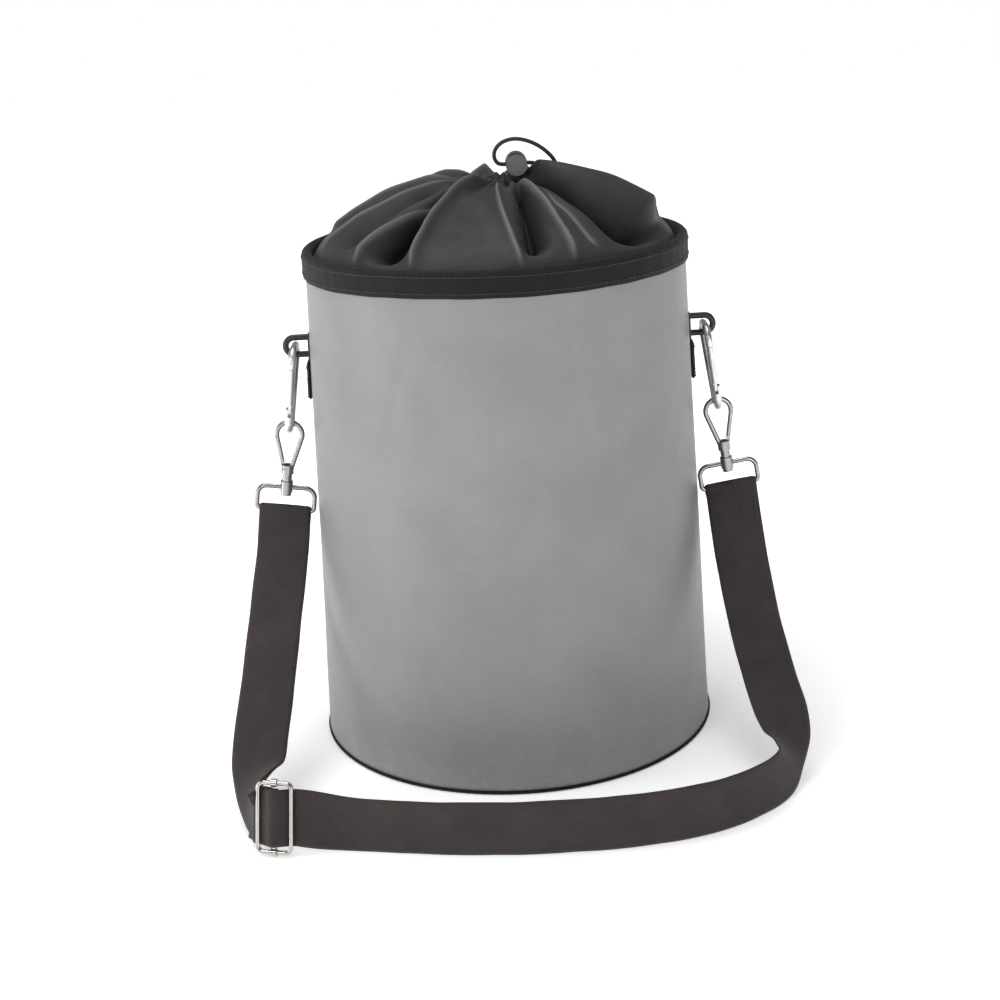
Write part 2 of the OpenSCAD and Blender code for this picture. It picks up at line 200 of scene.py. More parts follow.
def tube(path, radius, sides, start_side=(0, 0, 1)):
    """(verts, faces, uvs) of a round rod along a path, with closed ends."""
    path = np.asarray(path, float)
    heading = unit(np.gradient(path, axis=0))
    side = np.array(start_side, float)
    rings, uv = [], []
    s = along(path)
    for k in range(len(path)):
        side = unit(side - (side @ heading[k]) * heading[k])
        other = np.cross(heading[k], side)
        a = 2 * math.pi * np.arange(sides + 1) / sides
        rings.append(path[k] + radius * (np.cos(a)[:, None] * side + np.sin(a)[:, None] * other))
        uv.append(np.stack([np.full(sides + 1, s[k]), a / (2 * math.pi)], 1))
    verts = np.concatenate(rings)
    faces = grid_faces(len(path), sides + 1)
    for k in (0, len(path) - 1):
        centre = len(verts)
        verts = np.vstack([verts, path[k]])
        uv.append(np.array([[s[k], 0.5]]))
        base = k * (sides + 1)
        for j in range(sides):
            tri = [base + j, base + j + 1, centre]
            faces.append(tri if k else tri[::-1])
    return verts, faces, np.concatenate(uv)


# ================ materials ================

class Shader:
    """A node material: a Principled surface, with short calls for the nodes that feed it."""

    def __init__(self, name, color, roughness, metallic=0.0, specular=0.5, sheen=0.0):
        self.material = bpy.data.materials.new(name)
        self.material.use_nodes = True
        self.tree = self.material.node_tree
        self.surface = self.tree.nodes["Principled BSDF"]
        self.set("Base Color", (*color, 1))
        self.set("Roughness", roughness)
        self.set("Metallic", metallic)
        self.set("Specular IOR Level", specular)
        self.set("Sheen Weight", sheen)
        self.set("Sheen Roughness", 0.45)

    def set(self, socket, value):
        """A value that is the same all over the surface."""
        self.surface.inputs[socket].default_value = value

    def feed(self, socket, value):
        """A value that varies, from another node's output."""
        self.tree.links.new(value, self.surface.inputs[socket])

    def node(self, kind, output, values=(), **settings):
        """One output of a new node. values are its inputs, as numbers or as other nodes' outputs."""
        n = self.tree.nodes.new(kind)
        for key, value in settings.items():
            setattr(n, key, value)
        for key, value in dict(values).items():
            if isinstance(value, bpy.types.NodeSocket):
                self.tree.links.new(value, n.inputs[key])
            else:
                n.inputs[key].default_value = value
        return n.outputs[output]

    def math(self, operation, a, b=0.0):
        return self.node("ShaderNodeMath", 0, {0: a, 1: b}, operation=operation)

    def place(self):
        """The point in the row frame, in metres. A CAD node's object sits at the origin."""
        return self.node("ShaderNodeTexCoord", "Object")

    def uv(self):
        """(u, v) in metres on a made piece."""
        split = self.tree.nodes.new("ShaderNodeSeparateXYZ")
        self.tree.links.new(self.node("ShaderNodeTexCoord", "UV"), split.inputs[0])
        return split.outputs[0], split.outputs[1]

    def noise(self, size, detail):
        """Noise from 0 to 1 with blotches about size metres across."""
        return self.node("ShaderNodeTexNoise", 0, {"Vector": self.place(), "Scale": 1 / size,
                                                   "Detail": detail, "Roughness": 0.55})

    def wave(self, distance, pitch):
        """A sine from -1 to 1 that repeats every pitch metres."""
        return self.math("SINE", self.math("MULTIPLY", distance, 2 * math.pi / pitch))

    def ramp(self, value, low, high, out_low, out_high):
        """value from low to high, mapped to the range from out_low to out_high, and held beyond it."""
        return self.node("ShaderNodeMapRange", 0, {0: value, 1: low, 2: high, 3: out_low, 4: out_high})

    def blend(self, share, a, b):
        """Colour a where share is 0, and b where it is 1."""
        a, b = ((*c, 1) if isinstance(c, tuple) else c for c in (a, b))
        n = self.tree.nodes.new("ShaderNodeMix")
        n.data_type = "RGBA"
        for socket, value in ((n.inputs[0], share), (n.inputs[6], a), (n.inputs[7], b)):
            if isinstance(value, bpy.types.NodeSocket):
                self.tree.links.new(value, socket)
            else:
                socket.default_value = value
        return n.outputs[2]

    def relief(self, *layers):
        """Bump from (height from 0 to 1, depth in metres) layers, one on the other."""
        normal = None
        for height, depth in layers:
            values = {"Height": height, "Distance": depth, "Strength": 1.0}
            if normal is not None:
                values["Normal"] = normal
            normal = self.node("ShaderNodeBump", 0, values)
        self.feed("Normal", normal)
        return self


def weave(s, u, v, warp, weft):
    """Crossing threads: humps that alternate along u and v, from 0 to 1."""
    return s.ramp(s.math("MULTIPLY", s.wave(u, warp), s.wave(v, weft)), -1, 1, 0, 1)


def coated_fabric():
    """Grey polymer-coated cloth: satin, with a faint scrim, soft mottling and scuffs near the floor."""
    light, dark, scuffed = (0.252, 0.253, 0.258), (0.215, 0.217, 0.223), (0.36, 0.36, 0.36)
    s = Shader("coated_fabric", light, 0.5, specular=0.2)
    u, v = s.uv()
    scrim = s.math("MAXIMUM", s.wave(u, 1.3 * MM), s.wave(v, 1.3 * MM))
    grain = s.noise(0.5 * MM, 2)
    mottle = s.noise(60 * MM, 4)
    near_floor = s.ramp(v, 0, 0.05, 0.28, 0.08)
    scuff = s.math("MULTIPLY", s.ramp(s.noise(7 * MM, 6), 0.56, 0.72, 0, 1), near_floor)
    base = s.blend(s.ramp(mottle, 0.3, 0.7, 0, 1), dark, light)
    s.feed("Base Color", s.blend(scuff, base, scuffed))
    s.feed("Roughness", s.ramp(s.math("ADD", mottle, scuff), 0.3, 1.2, 0.36, 0.6))
    scrim = s.ramp(scrim, -1, 1, 0, 1)
    s.relief((s.noise(35 * MM, 3), 1.2 * MM), (scrim, 0.035 * MM), (grain, 0.05 * MM))
    return s.material


def woven_tape(name, color, worn, roughness, along_pitch, across_pitch, depth, sheen=0.12):
    """Woven tape or webbing: thread humps along u and across v, paler where it is rubbed."""
    s = Shader(name, color, roughness, specular=0.2, sheen=sheen)
    u, v = s.uv()
    threads = weave(s, u, v, along_pitch, across_pitch)
    fuzz = s.noise(0.35 * MM, 3)
    patches = s.noise(22 * MM, 4)
    rub = s.math("MULTIPLY", s.ramp(patches, 0.35, 0.75, 0.0, 0.8), s.ramp(threads, 0.4, 1, 0.3, 1))
    s.feed("Base Color", s.blend(rub, color, worn))
    s.feed("Roughness", s.ramp(threads, 0, 1, roughness + 0.1, roughness - 0.06))
    s.relief((threads, depth), (fuzz, 0.06 * MM))
    return s.material


# The collar's cloth: painted shade for a deep fold, its own colour where it is flat, and a painted highlight
# for a crisp edge
NYLON_PAINTED_SHADE = (0.006, 0.0042, 0.0042)
NYLON_FLAT = (0.042, 0.0395, 0.04)
NYLON_PAINTED_HIGHLIGHT = (0.13, 0.124, 0.125)


def nylon():
    """Black nylon: a fine plain weave, with painted shade in its folds and painted highlights on its crisp
    edges, from a value the mesh carries from -0.5 to 0.5, plus random patches.
    """
    s = Shader("collar_nylon", NYLON_FLAT, 0.5, specular=0.1, sheen=0.04)
    u, v = s.uv()
    threads = weave(s, u, v, 0.7 * MM, 0.7 * MM)
    # The value the mesh carries paints shade into the valleys and highlights onto the crisp ridges; random
    # patches are added to it
    painted_light_tone = s.node("ShaderNodeAttribute", "Fac", attribute_name="painted_light_tone")
    patches = s.ramp(s.noise(40 * MM, 4), 0.3, 0.7, -0.07, 0.07)
    painted_light_tone = s.math("ADD", painted_light_tone, patches)
    # Painted shade towards the deep colour below 0, painted highlight towards the edge colour above 0
    low = s.blend(s.ramp(painted_light_tone, -0.45, 0, 0, 1), NYLON_PAINTED_SHADE, NYLON_FLAT)
    s.feed("Base Color", s.blend(s.ramp(painted_light_tone, 0, 0.5, 0, 1), low, NYLON_PAINTED_HIGHLIGHT))
    s.feed("Roughness", s.ramp(s.noise(15 * MM, 3), 0.3, 0.7, 0.44, 0.6))
    s.relief((s.noise(14 * MM, 3), 0.9 * MM), (threads, 0.03 * MM))
    return s.material


def braid(name, color, pitch, sides):
    """Braided cord: strands that cross round it, with painted shade between them and a painted highlight on
    their tops. u is along it in metres, v its turn from 0 to 1.
    """
    s = Shader(name, color, 0.62, specular=0.35, sheen=0.3)
    u, v = s.uv()
    round_turn = s.math("MULTIPLY", v, 2 * math.pi * sides)
    run = s.math("MULTIPLY", u, 2 * math.pi / pitch)
    one = s.math("SINE", s.math("ADD", run, round_turn))
    other = s.math("SINE", s.math("SUBTRACT", run, round_turn))
    strands = s.ramp(s.math("MULTIPLY", one, other), -1, 1, 0, 1)
    # Painted shade in the grooves between strands, painted highlight on the strand tops
    s.feed("Base Color", s.blend(strands, tuple(c * 0.6 for c in color), tuple(c * 1.7 for c in color)))
    s.relief((strands, 0.25 * MM))
    return s.material


def thread(name, color):
    """Sewing thread: two plies that wind round each stitch, with painted shade between them and a painted
    highlight on their tops.
    """
    s = Shader(name, color, 0.55, specular=0.4, sheen=0.3)
    u, v = s.uv()
    ply = s.math("SINE", s.math("ADD", s.math("MULTIPLY", u, 2 * math.pi / (0.8 * MM)),
                                s.math("MULTIPLY", v, 4 * math.pi)))
    # Painted shade in the groove between plies, painted highlight on their tops
    s.feed("Base Color", s.blend(s.ramp(ply, -1, 1, 0, 1), tuple(c * 0.6 for c in color), color))
    s.relief((s.ramp(ply, -1, 1, 0, 1), 0.08 * MM))
    return s.material


def plated(name, color, roughness):
    """Nickel-plated steel with fine rubbing marks and a dull film in places."""
    s = Shader(name, color, roughness, metallic=1.0)
    film = s.noise(6 * MM, 5)
    drawn_out = s.node("ShaderNodeMapping", 0, {"Vector": s.place(), "Scale": (1, 1, 0.12)})
    rubbed = s.node("ShaderNodeTexNoise", 0, {"Vector": drawn_out, "Scale": 1800.0, "Detail": 2.0})
    s.feed("Base Color", s.blend(s.ramp(film, 0.35, 0.7, 0, 1), color, tuple(c * 0.86 for c in color)))
    s.feed("Roughness", s.ramp(s.math("ADD", film, rubbed), 0.7, 1.4, roughness * 0.7, roughness * 1.6))
    s.relief((rubbed, 0.005 * MM), (s.noise(4 * MM, 2), 0.02 * MM))
    return s.material


def moulded(name, color, roughness, grain):
    """Moulded plastic or rubber: a fine spark-eroded grain, duller where it is handled."""
    s = Shader(name, color, roughness, specular=0.45)
    handled = s.noise(4 * MM, 4)
    greyed = tuple(c * 1.5 + 0.004 for c in color)
    s.feed("Base Color", s.blend(s.ramp(handled, 0.4, 0.75, 0, 1), color, greyed))
    s.feed("Roughness", s.ramp(handled, 0.3, 0.7, roughness - 0.06, roughness + 0.12))
    s.relief((s.noise(0.35 * MM, 2), grain))
    return s.material


def stiff_board():
    """Grey-black extruded board and hoop inside the fabric."""
    s = Shader("stiff_board", (0.05, 0.05, 0.052), 0.6)
    s.relief((s.noise(3 * MM, 4), 0.08 * MM))
    return s.material


WALL = coated_fabric()
TRIM = woven_tape("black_trim", (0.0065, 0.006, 0.0061), (0.016, 0.015, 0.0152), 0.7,
                  1.5 * MM, 1.0 * MM, 0.14 * MM, sheen=0.05)
WEBBING = woven_tape("strap_webbing", (0.037, 0.0292, 0.0288), (0.066, 0.054, 0.053), 0.78,
                     2.3 * MM, 1.5 * MM, 0.2 * MM)
BASE_CLOTH = woven_tape("base_cloth", (0.016, 0.016, 0.016), (0.03, 0.03, 0.03), 0.6,
                        1.0 * MM, 1.0 * MM, 0.06 * MM)
NYLON = nylon()
CORD = braid("drawcord", (0.014, 0.0135, 0.0135), 2.4 * MM, 4)
BLACK_THREAD = thread("black_thread", (0.012, 0.0115, 0.0115))
GREY_THREAD = thread("grey_thread", (0.05, 0.046, 0.044))
STEEL = plated("plated_steel", (0.74, 0.735, 0.73), 0.36)
HOOK_STEEL = plated("hook_steel", (0.34, 0.33, 0.325), 0.24)
GATE_STEEL = plated("gate_steel", (0.7, 0.7, 0.7), 0.34)
PIN_STEEL = plated("pin_steel", (0.3, 0.3, 0.305), 0.35)
WIRE_STEEL = plated("wire_steel", (0.5, 0.485, 0.46), 0.17)
SPRING_STEEL = plated("spring_steel", (0.55, 0.55, 0.56), 0.3)
RUBBER = moulded("loop_rubber", (0.012, 0.012, 0.0125), 0.42, 0.03 * MM)
LOCK_BLACK = moulded("lock_plastic", (0.014, 0.014, 0.015), 0.38, 0.02 * MM)
LOCK_GREY = moulded("button_plastic", (0.085, 0.08, 0.08), 0.45, 0.02 * MM)
BOARD = stiff_board()


def dress(obj, material):
    """Gives obj this material and no other."""
    obj.data.materials.clear()
    obj.data.materials.append(material)


def finished(obj, material, body="root", stands_for=()):
    """Gives a made piece its material, the body it rides on and the CAD nodes it stands for."""
    dress(obj, material)
    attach(obj, body)
    if stands_for:
        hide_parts(*stands_for)


# ================ stitches ================

def stitch(a, b, out, radius):
    """One thread stitch from a to b that sinks into the cloth at both ends. out points off the cloth."""
    a, b, out = (np.asarray(p, float) for p in (a, b, out))
    t = np.linspace(0, 1, 5)[:, None]
    lift = np.array([-0.9, 0.35, 0.6, 0.35, -0.9])[:, None] * radius
    return tube(a + (b - a) * t + out * lift, radius, 6, np.cross(b - a, out))


def stitch_row(path, outs, pitch, radius=0.3 * MM):
    """Stitches along a path on the cloth, with the cloth's outward direction at each of its points."""
    s = along(path)
    count = int(round(s[-1] / pitch))
    parts = []
    for k in range(count):
        ends = [(k + share) * s[-1] / count for share in (0.14, 0.86)]
        a, b = (np.array([np.interp(e, s, path[:, i]) for i in range(3)]) for e in ends)
        middle = sum(ends) / 2
        out = unit([np.interp(middle, s, outs[:, i]) for i in range(3)])
        parts.append(stitch(a, b, out, radius))
    return parts


def ring_points(radius, z, count):
    """Points round the Z axis, the first again as the last. Angles start at -Y and go towards +X."""
    a = np.linspace(0, 2 * math.pi, count + 1)
    return np.stack([radius * np.sin(a), -radius * np.cos(a), np.broadcast_to(z, a.shape)], 1)


# ================ drawcord and its lock ================

# The route of part.scad's drawcord, in millimetres
CORD_ROUTE = [[31, -11.6, 410.8], [32.6, -14, 414], [31, -17, 417.2], [26.8, -18, 418.2],
              [17, -18, 418.2], [7.2, -18, 418.2], [3.8, -18, 420.8], [3, -18, 425.4], [5.2, -18, 430],
              [10, -17.6, 433.4], [17, -17, 434.8], [25, -16, 433.4], [33, -14, 429.6], [40, -12, 424],
              [45, -10, 417.5], [47, -9, 409.6]]
CORD_D = 2.8 * MM
SPRING_WIRE = 0.4 * MM
SPRING_TURNS = 3


def make_lock_spring():
    """The coil hidden in the cord lock, wound evenly along the barrel."""
    low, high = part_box("lock_spring")
    middle = (low + high) / 2
    turn = np.linspace(0, 2 * math.pi * SPRING_TURNS, 24 * SPRING_TURNS + 1)
    reach = (high.x - low.x) / 2 - SPRING_WIRE
    y = np.linspace(low.y + SPRING_WIRE, high.y - SPRING_WIRE, len(turn))
    path = np.stack([middle.x + reach * np.cos(turn), y, middle.z + reach * np.sin(turn)], 1)
    spring = link("lock_spring_coil", *tube(path, SPRING_WIRE, 10, (1, 0, 0)))
    finished(spring, SPRING_STEEL, "lock", ["lock_spring"])
    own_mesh(spring)
    return spring


def make_drawcord(spring):
    """The braided cord that leaves the hem, runs through the lock and loops back above it."""
    path = evened(catmull(np.array(CORD_ROUTE) * MM, 8), 0.9 * MM)
    verts, faces, uvs = tube(path, CORD_D / 2, 16, (0, 1, 0))
    cord = link("drawcord_braid", verts, faces, uvs)
    finished(cord, CORD, stands_for=["drawcord"])


# ================ wall and base ================

WALL_T = 1.6 * MM
# How far the wall's cloth runs down past its seam, over the piping
WALL_PAST_PIPING = 2.2 * MM
# The cord at the foot is pressed to this share of its height by the bag's weight
PIPING_FLAT = 0.62
# The wall's creases: angle in radians from -Y towards +X, share of the height, slant in radians, half
# length and half width (radians round the bag, or as large a share of its height), and how far it stands
# out in millimetres, where a dent is negative
CREASES = [
    (-0.55, 0.80, 0.9, 0.30, 0.035, -0.7), (-0.20, 0.62, -0.5, 0.36, 0.045, 0.5),
    (0.35, 0.86, -1.2, 0.25, 0.030, -0.6), (0.75, 0.45, 0.7, 0.40, 0.050, -0.6),
    (-0.90, 0.35, 0.4, 0.40, 0.050, 0.6), (0.10, 0.22, 1.4, 0.32, 0.040, -0.5),
    (2.00, 0.60, 0.8, 0.35, 0.045, -0.8), (-2.10, 0.55, -0.9, 0.35, 0.045, -0.8),
    (2.70, 0.30, -0.6, 0.30, 0.040, 0.6), (-2.65, 0.80, 0.5, 0.30, 0.040, 0.6)]


def wall_radius(z):
    """Radius of the wall's true cone at height z."""
    return TOP_R + WALL_TAPER * (RIM_Z - z)


def wall_relief(angle, z):
    """How far the cloth stands off the true cone, in metres: soft panels, dents and a few creases."""
    height = (z - BASE_Z) / (RIM_Z - BASE_Z)
    held = smoothstep(height / 0.05) * smoothstep((1 - height) / 0.05)
    panels = 0.55 * np.cos(3 * angle + 0.6) * np.sin(math.pi * height)
    panels = panels + 0.35 * np.cos(5 * angle + 2.1 + 3 * height) * np.sin(2 * math.pi * height + 0.5)
    creases = 0
    for at, up, lean, long, wide, deep in CREASES:
        off = np.angle(np.exp(1j * (angle - at)))
        run = off * math.cos(lean) + (height - up) * math.sin(lean)
        across = -off * math.sin(lean) + (height - up) * math.cos(lean)
        creases = creases + deep * bump(run, 0, long) * bump(across, 0, wide)
    return (panels + creases) * held * MM


def make_wall():
    """The grey tube of the bag, with its uneven cloth and the raised overlap at the back."""
    columns, rows = 360, 150
    angle = np.linspace(-math.pi, math.pi, columns + 1)[None, :]
    z = np.linspace(BASE_Z - WALL_PAST_PIPING, RIM_Z + 6 * MM, rows)[:, None]
    r = wall_radius(z) + wall_relief(angle, z) - 0.15 * MM
    from_back = np.abs(np.abs(angle) - math.pi + 0.06)
    seam = 1.1 * MM * smoothstep((0.075 - from_back) / 0.006)
    r = r + seam * (np.abs(angle) < math.pi)
    points = np.stack([r * np.sin(angle), -r * np.cos(angle), z + 0 * angle], -1)
    wall = grid("wall_cloth", points, angle * BASE_R, z - BASE_Z, close_cols=True)
    modifier(wall, "SOLIDIFY", thickness=WALL_T - 0.2 * MM, offset=-1)
    finished(wall, WALL, stands_for=["wall_panel"])


def make_wall_seam():
    """Two rows of stitches down the overlap at the back of the wall."""
    parts = []
    count = 120
    for angle in (math.pi - 0.015, math.pi - 0.105):
        z = np.linspace(BASE_Z + 3 * MM, RIM_Z - 1 * MM, count)
        r = wall_radius(z) + wall_relief(np.full(count, angle), z) + 1.0 * MM
        path = np.stack([r * math.sin(angle), -r * math.cos(angle), z], 1)
        outs = np.tile([math.sin(angle), -math.cos(angle), 0], (count, 1))
        parts += stitch_row(path, outs, 4 * MM)
    finished(joined("wall_seam_stitches", parts), GREY_THREAD)


def make_base():
    """The floor of the bag: coated cloth that puckers a little where it is sewn to the piping."""
    r_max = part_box("base_panel")[1].x
    angle = np.linspace(0, 2 * math.pi, 181)[None, :]
    r = (r_max * np.linspace(0.02, 1, 40))[:, None]
    pucker = 0.25 * MM * np.cos(44 * angle) * bump(r, r_max, 8 * MM)
    z = 0.9 * MM + 0.35 * MM * np.cos(2 * angle + 0.4) * (r / r_max) ** 2 + pucker
    points = np.stack([r * np.sin(angle), -r * np.cos(angle), z], -1)
    base = grid("base_cloth", points, points[..., 0], points[..., 1], close_cols=True)
    fill_centre(base, len(base.data.vertices))
    modifier(base, "SOLIDIFY", thickness=1.0 * MM, offset=0)
    finished(base, BASE_CLOTH, stands_for=["base_panel"])
    path = ring_points(r_max - 5 * MM, 0.45 * MM, 240)
    down = np.tile([0, 0, -1.0], (len(path), 1))
    finished(joined("base_stitches", stitch_row(path, down, 4 * MM)), GREY_THREAD)


def fill_centre(obj, most_sides):
    """Closes the small hole in the middle of a polar grid."""
    bm = bmesh.new()
    bm.from_mesh(obj.data)
    edges = [e for e in bm.edges if e.is_boundary and max(v.co.xy.length for v in e.verts) < 20 * MM]
    bmesh.ops.holes_fill(bm, edges=edges, sides=most_sides)
    bm.to_mesh(obj.data)
    bm.free()


def make_piping():
    """A cord in bias tape, sewn round the foot: slightly uneven, with the tape's slant wrinkles."""
    low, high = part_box("base_piping")
    minor = (high.z - low.z) / 2
    major = high.x - minor
    turn = np.linspace(0, 2 * math.pi, 481)[:, None]
    section = np.linspace(0, 2 * math.pi, 17)[None, :]
    r = minor * (0.97 + 0.02 * np.cos(7 * turn) + 0.03 * np.cos(150 * turn + 3 * section))
    z = low.z + PIPING_FLAT * (minor + r * np.sin(section))
    across = major + r * np.cos(section)
    points = np.stack([across * np.sin(turn), -across * np.cos(turn), z], -1)
    piping = grid("base_piping_tape", points, section * minor, turn * major, close_cols=True)
    finished(piping, TRIM, stands_for=["base_piping"])


# ================ rim binding ================

def binding_wave(angle):
    """How far the sewn tape wanders up and down."""
    return (0.45 * np.cos(2 * angle + 0.7) + 0.3 * np.cos(5 * angle + 1.9) + 0.12 * np.cos(23 * angle)) * MM


def make_binding():
    """Webbing folded over the top edge: an upside-down U, with rounded lips and two rows of stitches."""
    mid = BINDING_R - BINDING_W / 2
    half, skin = BINDING_W / 2, BINDING_SKIN
    top = RIM_TOP - half
    inner = half - skin
    arc = np.linspace(0, math.pi, 13)
    leg = np.linspace(0.04, 0.9, 6) * (top - RIM_Z) + RIM_Z
    outside = [[half, z] for z in leg]
    outside += [[half * math.cos(a), top + half * math.sin(a)] for a in arc]
    outside += [[-half, z] for z in leg[::-1]]
    lining = [[-inner, z] for z in leg]
    lining += [[inner * math.cos(a), top + inner * math.sin(a)] for a in arc[::-1]]
    lining += [[inner, z] for z in leg[::-1]]
    inner_lip = [[-half + skin / 2, RIM_Z]]
    outer_lip = [[half - skin / 2, RIM_Z]]
    profile = np.array(outside + inner_lip + lining + outer_lip + outside[:1])
    turn = np.linspace(0, 2 * math.pi, 481)[:, None]
    out, up = profile[None, :, 0], profile[None, :, 1]
    slub = 0.12 * MM * np.cos(61 * turn + 2 * np.cos(9 * turn)) * np.sign(out)
    r = mid + out + slub
    fade = smoothstep(1 - (up - RIM_Z) / (top - RIM_Z))
    z = up + binding_wave(turn) * fade
    points = np.stack([r * np.sin(turn), -r * np.cos(turn), z], -1)
    binding = grid("rim_binding_tape", points, turn * mid, along(profile)[None, :], close_cols=True)
    finished(binding, TRIM, stands_for=["rim_binding"])
    parts = []
    count = 480
    for side, z0 in ((1, 3.2), (1, 14.0), (-1, 3.6)):
        a = np.linspace(0, 2 * math.pi, count + 1)
        radius = mid + side * (half + 0.12 * MM)
        path = ring_points(radius, RIM_Z + z0 * MM + binding_wave(a), count)
        outs = side * np.stack([np.sin(a), -np.cos(a), 0 * a], 1)
        parts += stitch_row(path, outs, 3.6 * MM)
    finished(joined("rim_stitches", parts), BLACK_THREAD)


# ================ collar ================

# Big folds of the collar: angle at the rim and near the gather in degrees from -Y towards +X, half width
# at both, height in millimetres (a valley is negative), where along the way in it starts and ends, and
# whether it is a crisp crease (1) or a soft roll (0).
FOLDS = [
    (-92, -80, 14, 12, -5, 0.08, 0.75, 0), (-76, -62, 4, 6, 5, 0.02, 0.8, 1),
    (-63, -52, 6, 5, -6, 0.05, 0.7, 0), (-49, -30, 2.6, 5, 9, 0.0, 0.72, 1),
    (-38, -36, 5.5, 4, -19, 0.02, 0.72, 0), (-26, -31, 2.4, 4, 9, 0.0, 0.9, 1),
    (-10, -16, 12, 14, -2, 0.1, 0.8, 0), (8, -8, 2.2, 4, 7, 0.0, 0.8, 1),
    (12, 16, 3.6, 4.5, -15, 0.05, 0.76, 0), (24, 18, 3.4, 5, 9, 0.0, 0.85, 1),
    (34, 30, 3, 4, -3, 0.05, 0.6, 1), (59, 39, 10, 4, -22, 0.02, 0.86, 0),
    (76, 56, 11, 13, 15, 0.1, 0.98, 0), (92, 88, 6, 6, -8, 0.08, 0.8, 0),
    (104, 100, 4, 7, 7, 0.02, 0.85, 1), (118, 120, 6, 5, -12, 0.04, 0.75, 0),
    (132, 130, 3.5, 6, 7, 0.02, 0.8, 1), (147, 150, 6, 5, -10, 0.06, 0.75, 0),
    (162, 158, 4, 7, 6, 0.02, 0.85, 1), (177, 180, 6, 5, -13, 0.04, 0.75, 0),
    (193, 190, 3.5, 6, 7, 0.02, 0.8, 1), (207, 210, 7, 6, -9, 0.06, 0.8, 0),
    (222, 216, 4, 6, 7, 0.02, 0.85, 1), (238, 240, 7, 5, -11, 0.04, 0.75, 0),
    (254, 252, 4, 7, 5, 0.02, 0.8, 1)]
# The fold that leans over the hollow beside it: its place in degrees, and how far it leans
FOLD_ANGLE = 62
FOLD_LEAN = 13 * MM
# A valley this deep in millimetres gets the darkest painted shade
DEEP_FOLD = 14
# How much painted highlight the end of the leaning fold gets
FOLD_END_HIGHLIGHT = 0.3


def fold_profile(off, width, crisp):
    """Height from 0 to 1 across a fold: a round roll, or a ridge that comes to an edge."""
    x = off / width
    return np.exp(-1.25 * (np.sqrt(x * x + 0.01) - 0.1)) if crisp else np.exp(-x * x)


def collar_dome(angle, s):
    """A point of the smooth collar: s goes from 0 at the rim to 1 at the gather."""
    rim_r, hem_r = COLLAR_R - 0.7 * MM, 15 * MM
    r = rim_r + (hem_r - rim_r) * s
    share = np.clip(r / COLLAR_R, 0, 1)
    z0 = RIM_Z + 11 * MM
    z = z0 + (COLLAR_TOP - z0 - 7 * MM + 7 * MM * smoothstep(share * 2)) * (1 - share ** 2) ** 0.72
    x = HEM.x * s ** 1.3 + r * np.sin(angle)
    y = HEM.y * s ** 1.3 - r * np.cos(angle)
    return np.stack([x, y, z + 0 * angle], -1)


def fold_heights(angle, s):
    """How far the folds lift the cloth, and the light painted on it: painted shade down to -0.5 in a deep
    hollow, a painted highlight up to 0.5 on a crisp edge.
    """
    total = np.zeros(np.broadcast(angle, s).shape)
    degrees = np.degrees(angle)
    # A painted highlight on the end of the leaning fold
    painted_light_tone = total + FOLD_END_HIGHLIGHT * bump(degrees, FOLD_ANGLE + 24, 12) * bump(s, 0.24, 0.16)
    for rim, inner, w_rim, w_inner, high, start, end, crisp in FOLDS:
        centre = rim + (inner - rim) * s
        width = w_rim + (w_inner - w_rim) * s
        off = (degrees - centre + 180) % 360 - 180
        window = smoothstep((s - start) / 0.1) * smoothstep((end - s) / 0.22 + 0.35)
        total = total + high * MM * fold_profile(off, width, crisp) * window
        if crisp:
            # Painted highlight along a crisp ridge
            painted_light_tone = painted_light_tone + 0.65 * np.exp(-((off / (0.3 * width)) ** 2)) * window
        # Painted shade in a valley, darker the deeper it is
        elif high < 0:
            painted_light_tone = painted_light_tone - 0.5 * min(1.15, -high / DEEP_FOLD) * np.exp(-((off / width) ** 2)) * window
    return total, np.clip(painted_light_tone, -0.5, 0.5)


def make_collar():
    """The gathered dome: its big folds, the small pleats at the gather, and crumpled cloth between them."""
    columns, rows = 720, 130
    angle = np.linspace(-math.pi, math.pi, columns + 1)[None, :]
    t = np.linspace(0, 1, rows)[:, None]
    s = t ** 1.5
    points = collar_dome(angle, s)
    normal = np.cross(np.gradient(points, axis=1), np.gradient(points, axis=0))
    normal = unit(normal + 1e-12)
    normal[:, -1] = normal[:, 0]
    gather = np.cos(21 * angle + 2.2 * np.sin(3 * angle + 0.5)) * bump(s, 0.9, 0.2) * 1.7 * MM
    crumple = np.cos(13 * angle + 9 * s + 1.3) * np.cos(7 * angle - 14 * s) * smoothstep(s / 0.2) * 0.7 * MM
    height, painted_light_tone = fold_heights(angle, s)
    height = height + gather + crumple * smoothstep((1 - s) / 0.1)
    points = points + normal * height[..., None]
    off = np.degrees(angle) - FOLD_ANGLE
    lean = FOLD_LEAN * bump(off + 4, 0, 11) * smoothstep(s / 0.16) * smoothstep((0.95 - s) / 0.3)
    points = points - np.stack([np.cos(angle), np.sin(angle), 0 * angle], -1) * lean[..., None]
    skirt = points[0] * [1, 1, 0] + [0, 0, RIM_Z + 3.4 * MM]
    points = np.concatenate([skirt[None], points])
    run = np.concatenate([[0], along(points[:, 0])[1:]])[:, None]
    collar = grid("collar_cloth", points, angle * COLLAR_R * 0.7, run)
    # The painted shade and painted highlights go onto the mesh as a value for the shader
    layer = collar.data.attributes.new("painted_light_tone", "FLOAT", "POINT")
    layer.data.foreach_set("value", np.concatenate([painted_light_tone[:1], painted_light_tone]).ravel())
    weld(collar)
    modifier(collar, "SOLIDIFY", thickness=0.6 * MM, offset=-1)
    finished(collar, NYLON, stands_for=["collar"])


